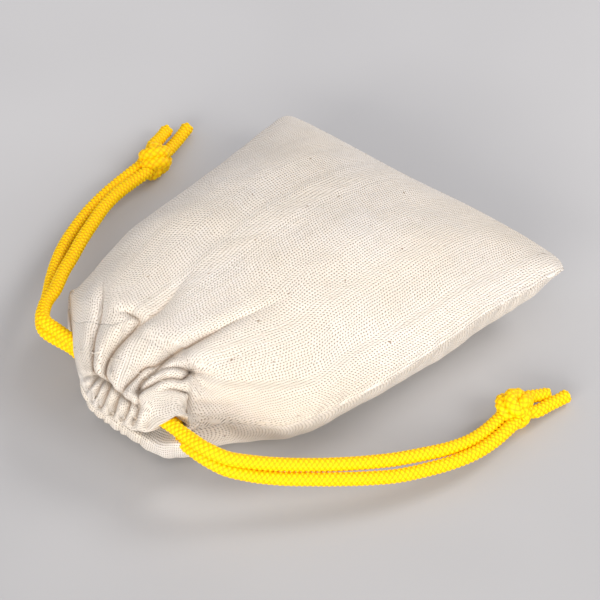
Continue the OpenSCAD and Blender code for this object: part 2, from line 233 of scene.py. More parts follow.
def muslin_material(name, base, shade=1.0):
    """Plain weave in flat-cloth coordinates: UV is cloth millimetres / 100"""
    m, nt, b = nodes_of(name)
    uv = nt.nodes.new("ShaderNodeUVMap")
    uv.uv_map = "UVMap"
    sep = nt.nodes.new("ShaderNodeSeparateXYZ")
    # slow wander of the threads, so the weave is not ruled
    vec = nt.nodes.new("ShaderNodeVectorMath")
    vec.operation = "SCALE"
    vec.inputs[3].default_value = 100.0
    nt.links.new(uv.outputs[0], vec.inputs[0])
    mm = vec.outputs[0]
    wander = nt.nodes.new("ShaderNodeTexNoise")
    wander.inputs["Scale"].default_value = 0.22
    wander.inputs["Detail"].default_value = 3
    nt.links.new(mm, wander.inputs["Vector"])
    cent = nt.nodes.new("ShaderNodeVectorMath")
    cent.operation = "SUBTRACT"
    cent.inputs[1].default_value = (0.5, 0.5, 0.5)
    nt.links.new(wander.outputs["Color"], cent.inputs[0])
    wob = nt.nodes.new("ShaderNodeVectorMath")
    wob.operation = "MULTIPLY_ADD"
    wob.inputs[1].default_value = (0.9, 0.9, 0)
    nt.links.new(cent.outputs[0], wob.inputs[0])
    nt.links.new(mm, wob.inputs[2])
    nt.links.new(wob.outputs[0], sep.inputs[0])
    x = mathn(nt, "DIVIDE", sep.outputs[0], PITCH)
    y = mathn(nt, "DIVIDE", sep.outputs[1], PITCH * 1.12)
    # threads: 0 at a thread's middle, 1 in the gap between two threads
    ix = mathn(nt, "ROUND", x)
    iy = mathn(nt, "ROUND", y)
    # each thread has its own width and tint
    wx = nt.nodes.new("ShaderNodeTexWhiteNoise")
    wx.noise_dimensions = "1D"
    nt.links.new(ix, wx.inputs["W"])
    wy = nt.nodes.new("ShaderNodeTexWhiteNoise")
    wy.noise_dimensions = "1D"
    nt.links.new(mathn(nt, "ADD", iy, 0.37), wy.inputs["W"])
    dx = mathn(nt, "MULTIPLY", mathn(nt, "ABSOLUTE", mathn(nt, "SUBTRACT", x, ix)), 2.0)
    dy = mathn(nt, "MULTIPLY", mathn(nt, "ABSOLUTE", mathn(nt, "SUBTRACT", y, iy)), 2.0)
    px = mathn(nt, "SUBTRACT", 1.0, mathn(nt, "POWER", dx, 2.6))
    py = mathn(nt, "SUBTRACT", 1.0, mathn(nt, "POWER", dy, 2.6))
    # which thread is on top at this crossing
    par = mathn(nt, "PINGPONG", mathn(nt, "ADD", ix, iy), 1.0)
    # a warp thread bows over the crossing; the other one dips
    cx = mathn(nt, "COSINE", mathn(nt, "MULTIPLY", mathn(nt, "SUBTRACT", x, ix), math.pi))
    cy = mathn(nt, "COSINE", mathn(nt, "MULTIPLY", mathn(nt, "SUBTRACT", y, iy), math.pi))
    top_x = mathn(nt, "MULTIPLY", px, mathn(nt, "MULTIPLY_ADD", cy, 0.45, 0.55))
    top_y = mathn(nt, "MULTIPLY", py, mathn(nt, "MULTIPLY_ADD", cx, 0.45, 0.55))
    low_x = mathn(nt, "MULTIPLY", px, 0.42)
    low_y = mathn(nt, "MULTIPLY", py, 0.42)
    ax = mathn(nt, "MAXIMUM", top_x, low_y)
    ay = mathn(nt, "MAXIMUM", top_y, low_x)
    hmix = nt.nodes.new("ShaderNodeMix")
    nt.links.new(par, hmix.inputs[0])
    nt.links.new(ax, hmix.inputs[2])
    nt.links.new(ay, hmix.inputs[3])
    weave = hmix.outputs[0]
    # holes: gaps of both thread sets at once, some wider than others
    hole_n = noise(nt, mm, 0.9, 3, 0.6)
    gap = mathn(nt, "MULTIPLY", mathn(nt, "POWER", dx, 2.2), mathn(nt, "POWER", dy, 2.2))
    edge = ramp(nt, hole_n, 0.25, 0.75, 0.24, 0.03)
    hole = nt.nodes.new("ShaderNodeMapRange")
    hole.interpolation_type = "SMOOTHSTEP"
    hole.inputs["From Max"].default_value = 0.50
    nt.links.new(edge, hole.inputs["From Min"])
    nt.links.new(gap, hole.inputs["Value"])
    hole = hole.outputs[0]
    # slubs: thick places along single threads
    sx = nt.nodes.new("ShaderNodeCombineXYZ")
    nt.links.new(ix, sx.inputs[0])
    nt.links.new(mathn(nt, "MULTIPLY", y, 0.10), sx.inputs[1])
    slub_x = noise(nt, sx.outputs[0], 1.0, 2, 0.6)
    sy = nt.nodes.new("ShaderNodeCombineXYZ")
    nt.links.new(iy, sy.inputs[0])
    nt.links.new(mathn(nt, "MULTIPLY", x, 0.10), sy.inputs[1])
    sy.inputs[2].default_value = 7.3
    slub_y = noise(nt, sy.outputs[0], 1.0, 2, 0.6)
    slub = mathn(nt, "ADD", ramp(nt, slub_x, 0.55, 0.8), ramp(nt, slub_y, 0.55, 0.8))
    # colour
    obj = nt.nodes.new("ShaderNodeTexCoord")
    big = noise(nt, mm, 0.035, 3, 0.5)
    mid = noise(nt, mm, 0.6, 3, 0.6)
    c0 = tuple(v * shade for v in base)
    warm = (c0[0] * 0.985, c0[1] * 0.955, c0[2] * 0.90)
    pale = (min(1, c0[0] * 1.02), min(1, c0[1] * 1.025), min(1, c0[2] * 1.04))
    col = mixc(nt, ramp(nt, big, 0.3, 0.7), warm, pale)
    tint = mathn(nt, "ADD", mathn(nt, "MULTIPLY", wx.outputs["Value"], 0.5), mathn(nt, "MULTIPLY", wy.outputs["Value"], 0.5))
    col = mixc(nt, ramp(nt, tint, 0.0, 1.0, 0.0, 0.22), col, (c0[0] * 0.86, c0[1] * 0.80, c0[2] * 0.70), "MIX")
    col = mixc(nt, ramp(nt, mid, 0.35, 0.75, 0.0, 0.12), col, (c0[0] * 0.82, c0[1] * 0.76, c0[2] * 0.66), "MIX")
    # painted shade: the low places of the weave are coloured darker and browner
    low = ramp(nt, weave, 0.15, 0.75, 0.38, 0.0)
    col = mixc(nt, low, col, (c0[0] * 0.66, c0[1] * 0.56, c0[2] * 0.44))
    col = mixc(nt, mathn(nt, "MULTIPLY", hole, 1.0), col, (0.20, 0.145, 0.09))
    # seed flecks: small brown specks of seed coat
    vor = nt.nodes.new("ShaderNodeTexVoronoi")
    vor.inputs["Scale"].default_value = 0.46
    vor.inputs["Randomness"].default_value = 1.0
    nt.links.new(mm, vor.inputs["Vector"])
    wn = nt.nodes.new("ShaderNodeTexWhiteNoise")
    nt.links.new(vor.outputs["Color"], wn.inputs["Vector"])
    size = mathn(nt, "MULTIPLY", mathn(nt, "POWER", wn.outputs["Value"], 3.0), 0.125)
    speck = mathn(nt, "LESS_THAN", mathn(nt, "ADD", vor.outputs["Distance"], mathn(nt, "MULTIPLY", noise(nt, mm, 6, 1), 0.03)), mathn(nt, "ADD", size, 0.006))
    keep = mathn(nt, "GREATER_THAN", wn.outputs["Value"], 0.30)
    speck = mathn(nt, "MULTIPLY", speck, keep)
    vor2 = nt.nodes.new("ShaderNodeTexVoronoi")
    vor2.inputs["Scale"].default_value = 1.0
    nt.links.new(mm, vor2.inputs["Vector"])
    wn2 = nt.nodes.new("ShaderNodeTexWhiteNoise")
    nt.links.new(vor2.outputs["Color"], wn2.inputs["Vector"])
    fine = mathn(nt, "MULTIPLY", mathn(nt, "LESS_THAN", vor2.outputs["Distance"], 0.11), mathn(nt, "GREATER_THAN", wn2.outputs["Value"], 0.62))
    col = mixc(nt, mathn(nt, "MULTIPLY", fine, 0.6), col, (0.30, 0.18, 0.10))
    col = mixc(nt, mathn(nt, "MULTIPLY", speck, 0.82), col, (0.20, 0.115, 0.055))
    # painted shade: the crease attribute darkens the fold valleys to a warm brown
    cr = nt.nodes.new("ShaderNodeAttribute")
    cr.attribute_name = "crease"
    col = mixc(nt, mathn(nt, "MULTIPLY", ramp(nt, cr.outputs["Fac"], 0.1, 0.9), 0.62), col, (0.44, 0.30, 0.19))
    nt.links.new(col, b.inputs["Base Color"])
    b.inputs["Roughness"].default_value = 0.92
    b.inputs["Specular IOR Level"].default_value = 0.18
    b.inputs["Sheen Weight"].default_value = 0.30
    b.inputs["Sheen Roughness"].default_value = 0.45
    b.inputs["Sheen Tint"].default_value = (1.0, 0.98, 0.94, 1)
    b.inputs["Subsurface Weight"].default_value = 0.10
    b.inputs["Subsurface Radius"].default_value = (0.0011, 0.0009, 0.0007)
    b.inputs["Subsurface Scale"].default_value = 1.0
    # relief: weave, slubs, and a light fuzz
    h = mathn(nt, "SUBTRACT", mathn(nt, "MULTIPLY_ADD", slub, 0.30, weave), mathn(nt, "MULTIPLY", hole, 0.55))
    fuzz = noise(nt, mm, 9.0, 2, 0.6)
    h = mathn(nt, "MULTIPLY_ADD", fuzz, 0.28, h)
    bump = nt.nodes.new("ShaderNodeBump")
    bump.inputs["Distance"].default_value = 0.00012
    bump.inputs["Strength"].default_value = 1.0
    nt.links.new(h, bump.inputs["Height"])
    # soft creases of handled cotton under the weave
    crease = noise(nt, mm, 0.30, 4, 0.55)
    bump2 = nt.nodes.new("ShaderNodeBump")
    bump2.inputs["Distance"].default_value = 0.0007
    bump2.inputs["Strength"].default_value = 0.35
    nt.links.new(crease, bump2.inputs["Height"])
    nt.links.new(bump2.outputs[0], bump.inputs["Normal"])
    nt.links.new(bump.outputs[0], b.inputs["Normal"])
    return m


def cord_material(name):
    """Braided polyester: grain is 1 on a yarn's crown and 0 in the groove, from the mesh"""
    m, nt, b = nodes_of(name)
    at = nt.nodes.new("ShaderNodeAttribute")
    at.attribute_name = "grain"
    obj = nt.nodes.new("ShaderNodeTexCoord")
    sc = nt.nodes.new("ShaderNodeVectorMath")
    sc.operation = "SCALE"
    sc.inputs[3].default_value = 1000
    nt.links.new(obj.outputs["Object"], sc.inputs[0])
    mm = sc.outputs[0]
    g = at.outputs["Fac"]
    n1 = noise(nt, mm, 0.8, 3, 0.6)
    n2 = noise(nt, mm, 7.0, 2, 0.6)
    # painted shade and painted highlight: the braid's grooves are coloured a deeper orange and its crowns a paler
    # yellow
    col = mixc(nt, ramp(nt, g, 0.05, 0.85), (0.86, 0.36, 0.0), (1.0, 0.64, 0.0))
    col = mixc(nt, ramp(nt, n1, 0.3, 0.7, 0.0, 0.30), col, (1.0, 0.56, 0.0))
    col = mixc(nt, ramp(nt, g, 0.80, 1.0, 0.0, 0.28), col, (1.0, 0.80, 0.0))
    col = mixc(nt, ramp(nt, n2, 0.45, 0.8, 0.0, 0.22), col, (1.0, 0.76, 0.0))
    nt.links.new(col, b.inputs["Base Color"])
    b.inputs["Roughness"].default_value = 0.55
    b.inputs["Specular IOR Level"].default_value = 0.16
    b.inputs["Sheen Weight"].default_value = 0.10
    b.inputs["Sheen Roughness"].default_value = 0.35
    b.inputs["Sheen Tint"].default_value = (1.0, 0.75, 0.05, 1)
    b.inputs["Subsurface Weight"].default_value = 0.12
    b.inputs["Subsurface Radius"].default_value = (0.0012, 0.0006, 0.0001)
    b.inputs["Subsurface Scale"].default_value = 1.0
    fib = noise(nt, mm, 14.0, 2, 0.6)
    bump = nt.nodes.new("ShaderNodeBump")
    bump.inputs["Distance"].default_value = 0.00006
    bump.inputs["Strength"].default_value = 0.6
    nt.links.new(fib, bump.inputs["Height"])
    nt.links.new(bump.outputs[0], b.inputs["Normal"])
    return m


def thread_material(name):
    m, nt, b = nodes_of(name)
    obj = nt.nodes.new("ShaderNodeTexCoord")
    sc = nt.nodes.new("ShaderNodeVectorMath")
    sc.operation = "SCALE"
    sc.inputs[3].default_value = 1000
    nt.links.new(obj.outputs["Object"], sc.inputs[0])
    w = nt.nodes.new("ShaderNodeTexWave")
    w.bands_direction = "DIAGONAL"
    w.inputs["Scale"].default_value = 2.2
    nt.links.new(sc.outputs[0], w.inputs["Vector"])
    # painted shade: the twist's bands that are low in the bump are coloured darker
    col = mixc(nt, w.outputs["Fac"], (0.74, 0.67, 0.57), (0.84, 0.79, 0.71))
    nt.links.new(col, b.inputs["Base Color"])
    b.inputs["Roughness"].default_value = 0.7
    bump = nt.nodes.new("ShaderNodeBump")
    bump.inputs["Distance"].default_value = 0.00008
    nt.links.new(w.outputs["Fac"], bump.inputs["Height"])
    nt.links.new(bump.outputs[0], b.inputs["Normal"])
    return m


MUSLIN = muslin_material("muslin", (0.765, 0.71, 0.65))
MUSLIN_HEM = muslin_material("muslin_hem", (0.78, 0.715, 0.625))
CORD = cord_material("drawcord")
THREAD = thread_material("thread")

F_PX = 5.2 * 600
RIGHT = V(math.cos(AZ), math.sin(AZ), 0)
UP = np.cross(BACK, RIGHT)
EYE = TARGET * 1000 + BACK * 600


def at(x, y, z):
    """The point (mm) at height z seen at (x, y) in the 600 x 600 frame"""
    d = -BACK + RIGHT * (x - 300) / F_PX + UP * (300 - y) / F_PX
    return EYE + d * ((z - EYE[2]) / d[2])


def seen(P):
    """Where points (mm) are seen in the 600 x 600 frame"""
    d = P - EYE
    z = -(d @ BACK)
    return 300 + F_PX * (d @ RIGHT) / z, 300 - F_PX * (d @ UP) / z


# ------------------------------------------------------------------ cords (same points as part.scad, mm)
CORD_D = 2.5
GAP = 2.6
right_route = V([17, -39.8, 11.3], [21.5, -38.4, 10.4], [25.5, -35.3, 9.4], [29, -31.8, 8.5],
                [32.5, -28, 7.9], [36, -24, 7.4], [39.5, -19.5, 6.8], [42.5, -15, 6.2], [45, -10, 5.6],
                [47, -5, 4.9], [48.3, 0.5, 4.2], [48.5, 5.5, 3.8], [48.2, 9.9, 3.7])
right_turn = [0, 10, 25, 40, 50, 55, 60, 60, 60, 65, 75, 80, 80]
right_spread = [1, 1, 1, 1, 1, 1.05, 1.15, 1.2, 1.15, 1.05, 1, 1, 1]
right_knot = V(47.3, 13.3, 3.7)
left_route = V([-27.5, -36.8, 11.3], [-31.5, -33.6, 10.5], [-34.5, -28.7, 9.6], [-38, -23.8, 8.7],
               [-41, -19, 7.9], [-44, -13.7, 7.1], [-46.6, -8.2, 6.3], [-49, -2.3, 5.5], [-50.6, 3.8, 4.8],
               [-51.5, 9, 4.1], [-51.9, 13.6, 3.8])
left_turn = [0, 15, 35, 50, 60, 60, 60, 60, 65, 75, 80]
left_spread = [1, 1, 1, 1.15, 1.4, 1.6, 1.6, 1.4, 1.15, 1, 1]
left_knot = V(-52.1, 17, 3.7)
TAILS = {"right_a": V([47.1, 16.4, 4.1], [47.5, 19.4, 3.3], [47.6, 22.4, 2.4]),
         "right_b": V([49.7, 15.5, 2.9], [50.4, 19.8, 2.1], [50.9, 24.3, 1.4]),
         "left_a": V([-54.9, 19, 4.2], [-57, 22.9, 3.3], [-59, 26.8, 2.6]),
         "left_b": V([-52.8, 20.2, 2.9], [-54.5, 25.4, 1.9], [-56.4, 30.7, 1.4])}


def unit(a):
    return a / np.linalg.norm(a)


def strand(route, turn, spread, s, half):
    out = []
    n = len(route)
    for i in range(n):
        if i == 0:
            t = unit(route[1] - route[0])
        elif i == n - 1:
            t = unit(route[i] - route[i - 1])
        else:
            t = unit(unit(route[i + 1] - route[i]) + unit(route[i] - route[i - 1]))
        inward = unit(np.cross([0, 0, s], t))
        up = unit(np.cross(inward, t)) * -s
        a = math.radians(turn[i])
        out.append(route[i] + half * GAP / 2 * spread[i] * (math.cos(a) * up + math.sin(a) * inward))
    return np.array(out)


def resample(P, step):
    P = np.asarray(P, float)
    d = np.concatenate([[0], np.cumsum(np.linalg.norm(np.diff(P, axis=0), axis=1))])
    dense = hermite(P, d, np.linspace(0, d[-1], 60 * len(P)))
    e = np.concatenate([[0], np.cumsum(np.linalg.norm(np.diff(dense, axis=0), axis=1))])
    n = max(2, int(round(e[-1] / step)))
    s = np.linspace(0, e[-1], n + 1)
    return np.stack([np.interp(s, e, dense[:, k]) for k in range(3)], -1), s


def frames(P, up=V(0, 0, 1)):
    T = np.gradient(P, axis=0)
    T /= np.linalg.norm(T, axis=1, keepdims=True)
    A = np.empty_like(P)
    a = up - T[0] * up.dot(T[0])
    if np.linalg.norm(a) < 0.1:
        a = V(0, 1, 0) - T[0] * T[0][1]
    A[0] = unit(a)
    for i in range(1, len(P)):
        a = A[i - 1] - T[i] * A[i - 1].dot(T[i])
        A[i] = unit(a)
    return T, A, np.cross(T, A)


YARNS = 5        # yarns across the cord's girth in each direction
LAY = 1.0       # mm along the cord from one yarn to the next


def braid(theta, s):
    """Height (0..1) of a braided surface with rice-grain crowns"""
    a = YARNS * theta / (2 * math.pi) + s / LAY
    b = YARNS * theta / (2 * math.pi) - s / LAY
    ia, ib = np.floor(a), np.floor(b)
    fa, fb = a - ia - 0.5, b - ib - 0.5
    over = ((ia + ib) % 2) == 0
    # across = distance over the yarn, along = distance down its crown
    across = np.where(over, fa, fb)
    along = np.where(over, fb, fa)
    g = np.clip(1 - (np.abs(across) / 0.50) ** 2.2, 0, 1) * np.clip(1 - (np.abs(along) / 0.62) ** 2.6, 0, 1)
    return g


def braided_tube(P, radius=CORD_D / 2 + 0.02, step=0.13, around=56, relief=0.24, cap=True, phase=0.0, squash=None, fray=(False, False)):
    P, s = resample(P, step)
    T, A, B = frames(P)
    th = np.linspace(0, 2 * math.pi, around, endpoint=False)
    S, TH = np.meshgrid(s + phase, th, indexing="ij")
    g = braid(TH + 0.02 * np.sin(S * 1.7), S)
    soft = 1 + 0.012 * value_noise(S * 0.6 + 3, TH * 1.2 + 9, 5)
    r = (radius - relief * 0.62 + relief * g) * soft
    for end, on in ((0, fray[0]), (-1, fray[1])):
        if on:
            d = np.abs(s - s[end])[:, None]
            r = r * (1 + 0.07 * np.exp(-(d / 0.9) ** 2) + 0.03 * np.sin(TH * 5 + 1) * np.exp(-(d / 0.5) ** 2))
    ring = np.cos(TH)[..., None] * A[:, None, :] + np.sin(TH)[..., None] * B[:, None, :]
    if squash is not None:
        ring = squash(ring, P, A, B)
    W = P[:, None, :] + r[..., None] * ring
    n = len(P)
    idx = np.arange(n * around).reshape(n, around)
    nx = np.roll(idx, -1, axis=1)
    quads = np.stack([idx[:-1], nx[:-1], nx[1:], idx[1:]], -1).reshape(-1, 4)
    verts = [W.reshape(-1, 3)]
    grain = [g.ravel()]
    tris = []
    base = n * around
    rng = np.random.RandomState(11)
    for end, sgn in ((0, -1), (-1, 1)):
        # a slightly domed, uneven cut end: two inner rings and a middle point
        prev = idx[end]
        for k, f in enumerate((0.72, 0.40)):
            ringv = P[end] + (W[end] - P[end]) * f + sgn * T[end] * (0.02 + 0.02 * k) + rng.uniform(-0.05, 0.05, (around, 1)) * T[end]
            verts.append(ringv)
            grain.append(np.full(around, 0.35 - 0.1 * k))
            cur = base + np.arange(around)
            base += around
            q = np.stack([prev, np.roll(prev, -1), np.roll(cur, -1), cur], -1)
            quads = np.concatenate([quads, q if sgn > 0 else q[:, ::-1]])
            prev = cur
        verts.append((P[end] + sgn * T[end] * 0.05)[None])
        grain.append(np.array([0.2]))
        t = np.stack([prev, np.roll(prev, -1), np.full(around, base)], -1)
        tris.append(t if sgn > 0 else t[:, ::-1])
        base += 1
    return np.concatenate(verts), quads, np.concatenate(tris), np.concatenate(grain), P


def cord_mesh(name, route, **kw):
    v, q, t, g, P = braided_tube(route, **kw)
    o = make_mesh(name, v, (q[:, ::-1], t[:, ::-1]), None, CORD, attrs={"grain": g})
    return o, P


front_cord_z, back_cord_z, low_z = 12.6, 3.0, 10.0
CLIMB_R = 5.0
climb_a = math.acos(1 - (low_z - back_cord_z) / 2 / CLIMB_R)
climb_len = 2 * CLIMB_R * math.sin(climb_a)


def climb(ex, y, s):
    lo = [V(ex - s * (climb_len - CLIMB_R * math.sin(a * climb_a)), y, back_cord_z + CLIMB_R * (1 - math.cos(a * climb_a))) for a in (0, 0.33, 0.67, 1)]
    hi = [V(ex - s * CLIMB_R * math.sin(a * climb_a), y, low_z - CLIMB_R * (1 - math.cos(a * climb_a))) for a in (0.67, 0.33, 0)]
    return lo + hi


def turn_pts(tx, y, s):
    return [V(tx - s * 2.5 * math.sin(math.radians(a)), y, front_cord_z - 2.5 * (1 - math.cos(math.radians(a)))) for a in (0, 30, 60, 90)] + \
           [V(tx - s * 2.5 * math.sin(math.radians(a)), y, back_cord_z + 2.5 * (1 + math.cos(math.radians(a)))) for a in (90, 120, 150, 180)]


def overhand(centre, along, up, size, flip=1, roll=0.0):
    """The path of a tight overhand knot: a torus knot opened where the cord enters and leaves"""
    n = 150
    t = np.linspace(0.0, 2 * math.pi, n)
    R, a, b = 1.45, 0.72, 0.95
    x = (R + a * np.cos(3 * t)) * np.cos(2 * t)
    y = (R + a * np.cos(3 * t)) * np.sin(2 * t) * flip
    z = b * np.sin(3 * t)
    side = unit(np.cross(up, along))
    upv = np.cross(along, side)
    c, s = math.cos(roll), math.sin(roll)
    X = c * side + s * upv
    Y = -s * side + c * upv
    P = centre + size * (x[:, None] * along + y[:, None] * X + z[:, None] * Y)
    return P


cord_pieces = {}
for side, route, turn, spread, s, knot_c, lane, pivot in (
        ("right", right_route, right_turn, right_spread, 1, right_knot, -39.8, V(15.5, -39.8, 11.3)),
        ("left", left_route, left_turn, left_spread, -1, left_knot, -36.8, V(-26, -36.8, 11.3))):
    ex = pivot[0] - s * 1.5
    A = strand(route, turn, spread, s, 1)
    B = strand(route, turn, spread, s, -1)
    inner_x = 6.2 if s > 0 else -15.0
    into = unit(route[-1] - route[-2]) * 1.6
    # upper strand from inside the front casing, lower strand from inside the back casing
    top = [V(inner_x, lane, front_cord_z), V((inner_x + ex) / 2, lane, front_cord_z), V(ex, lane, front_cord_z)]
    low = climb(ex, lane, s)
    a_path = np.array(top + list(A[0:]) + [A[-1] + into])
    if s < 0:
        low = [V(-13.0, -36.6, 3.4), V(-15.6, -36.2, 4.8), V(-18.2, -36.1, 7.0), V(-21.0, -36.4, 9.0), V(-24.4, -36.8, 10.0)]
    low = [p + V(0, 0.7, 0.45) * min(1.0, max(0.0, (s * ex - s * p[0] - 1.0) / 4)) for p in low]
    b_path = np.array([low[0] - V(s * 2.0, 0, 0)] + low + list(B) + [B[-1] + into])
    for tag, path in (("a", a_path), ("b", b_path)):
        o, P = cord_mesh(f"{side}_strand_{tag}", path, phase=0.0 if tag == "a" else 0.4)
        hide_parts(f"{side}_cord_strand_{tag}", *([f"{side}_cord_exit"] if tag == "a" else []))
        cord_pieces[side, tag] = (o, P)
    # the runs that the casings hold
    fr_end = (5.6 if s > 0 else -14.4)
    tx = (-9.4 if s > 0 else 4.4)
    fo, FP = cord_mesh(f"{side}_front_run", [V(tx, lane, front_cord_z), V((tx + fr_end) / 2, lane, front_cord_z), V(fr_end, lane, front_cord_z)], step=0.2, around=40)
    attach(fo, f"{side}_front_run")
    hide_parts(f"{side}_cord_front_run")
    br_end = low[0] - V(s * 2.3, 0, 0)
    tp = turn_pts(tx, lane, s)
    mid = [V(tp[-1][0] + (br_end[0] - tp[-1][0]) * f, lane, back_cord_z) for f in (0.33, 0.67)]
    tp = [p + V(0, 0.7, 0.45) * smooth01((front_cord_z - p[2]) / 9.6) for p in tp]
    mid = [p + V(0, 0.7, 0.45) for p in mid]
    bo, BP = cord_mesh(f"{side}_back_run", np.array(tp + mid + [br_end]), step=0.16, around=48)
    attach(bo, f"{side}_cord")
    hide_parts(f"{side}_cord_back_run")
    # knot and tails
    along = unit(route[-1] - route[-2])
    roll = math.radians(62 if s > 0 else 118)
    parts = []
    for half in (-1, 1):
        KP = overhand(knot_c + V(0, -0.2, 0.2), along, V(0, 0, 1), 1.22, s, roll)
        T, A_, B_ = frames(KP)
        hub = knot_c + along * 0.0
        out_ = KP - hub
        ax_ = np.cross(T, out_)
        ax_ /= np.maximum(np.linalg.norm(ax_, axis=1, keepdims=True), 1e-6)
        parts.append(braided_tube(KP[2:-2] + half * 1.0 * ax_[2:-2], radius=1.27, step=0.14, around=44, relief=0.20, phase=0.3 * half))
    off = 0
    vv, qq, tt, gg = [], [], [], []
    for v_, q_, t_, g_, _ in parts:
        vv.append(v_)
        qq.append(q_ + off)
        tt.append(t_ + off)
        gg.append(g_)
        off += len(v_)
    ko = make_mesh(f"{side}_knot", np.concatenate(vv), (np.concatenate(qq)[:, ::-1], np.concatenate(tt)[:, ::-1]), None, CORD, attrs={"grain": np.concatenate(gg)})
    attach(ko, f"{side}_cord_end")
    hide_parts(f"{side}_cord_knot")
    for tag in ("a", "b"):
        tp = TAILS[f"{side}_{tag}"]
        if tag == "a":
            tp = tp + np.array([[0, 0, 0], V(0.35 * s, -0.4, 0) if s > 0 else V(0.45, -0.2, 0), V(0.8 * s, -0.9, -0.2) if s > 0 else V(0.9, -0.4, -0.2)])
        start = knot_c + (tp[0] - knot_c) * 0.35
        to, TQ = cord_mesh(f"{side}_tail_{tag}", np.array([start, tp[0], tp[1], tp[2]]), radius=1.22, fray=(False, True))
        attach(to, f"{side}_cord_end")
        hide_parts(f"{side}_cord_tail_{tag}")
    for tag in ("a", "b"):
        o, P = cord_pieces[side, tag]
        d = V(s, 0, 0) * 4.0
        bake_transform(o)

# ------------------------------------------------------------------ cloth
UCOLS = [-1, -.85, -.65, -.45, -.2, 0, .2, .45, .65, .85, 1]
ROWS = {
    0: [at(*q) for q in ((81, 382, 8.2), (85, 391, 8.8), (91, 402, 9.4), (97, 410, 9.8), (112, 418, 10.0), (124, 425, 10.2),
                         (136, 430, 10.8), (151, 429, 12.2), (165, 422, 14.0), (178, 416, 14.3), (188, 417, 13.6))],
    6: [at(*q) for q in ((76, 364, 11.0), (81, 374, 13.4), (88, 377, 15.0), (97, 381, 15.7), (108, 388, 15.9), (119, 396, 15.7),
                         (131, 403, 15.5), (146, 405, 15.4), (161, 402, 15.2), (177, 401, 14.8), (188, 417, 12.6))],
    13: [at(*q) for q in ((71, 334, 11.0), (75, 346, 15.0), (87, 348, 17.4), (100, 350, 18.2), (116, 356, 18.2), (130, 363, 17.8),
                          (144, 370, 17.4), (160, 376, 17.0), (173, 382, 16.4), (187, 392, 15.4), (190, 425, 10.4))],
    18: [at(*q) for q in ((70, 314, 10.4), (75, 322, 15.4), (89, 322, 18.6), (105, 324, 19.8), (124, 330, 20.0), (141, 338, 19.7),
                          (156, 346, 19.3), (172, 354, 18.7), (184, 364, 17.7), (194, 384, 15.4), (193, 431, 8.4))],
    25: [at(*q) for q in ((70, 292, 9.6), (76, 294, 15.2), (92, 296, 19.6), (112, 301, 21.2), (135, 312, 21.7), (153, 322, 21.6),
                          (171, 333, 21.2), (191, 349, 20.1), (205, 368, 18.0), (218, 392, 13.6), (222, 424, 8.0))],
}
# the hem's inner layer, back from the mouth edge and under the cord
ROWS[-2.2] = [p + V(0, 0.9, 0) * (1 if p[2] > 9 else 0.6) + V(0, 0, -0.9) for p in ROWS[0]]
ROWS[-6] = [V(p[0], p[1] + 4.4, min(p[2] + 0.2, 10.5)) for p in ROWS[0]]
ROWS[-12.5] = [V(p[0] - 0.6, min(p[1] + 9.6, -33.0), 10.9) for p in ROWS[0]]
for j, d in ((8, (-1.4, 0.5, -1.2)), (9, (-2.0, 0.5, -1.2))):
    ROWS[-2.2][j] = ROWS[0][j] + V(*d)
    ROWS[-6][j] = V(ROWS[0][j][0] - 2.6, ROWS[0][j][1] + 2.0, 10.4)
    ROWS[-12.5][j] = V(ROWS[0][j][0] - 2.8, min(ROWS[0][j][1] + 6.0, -33.4), 10.7)
ROWS[-2.2][10] = at(187, 423, 11.2)
ROWS[-6][10] = at(190, 426, 10.0)
ROWS[-12.5][10] = at(192, 418, 10.2)
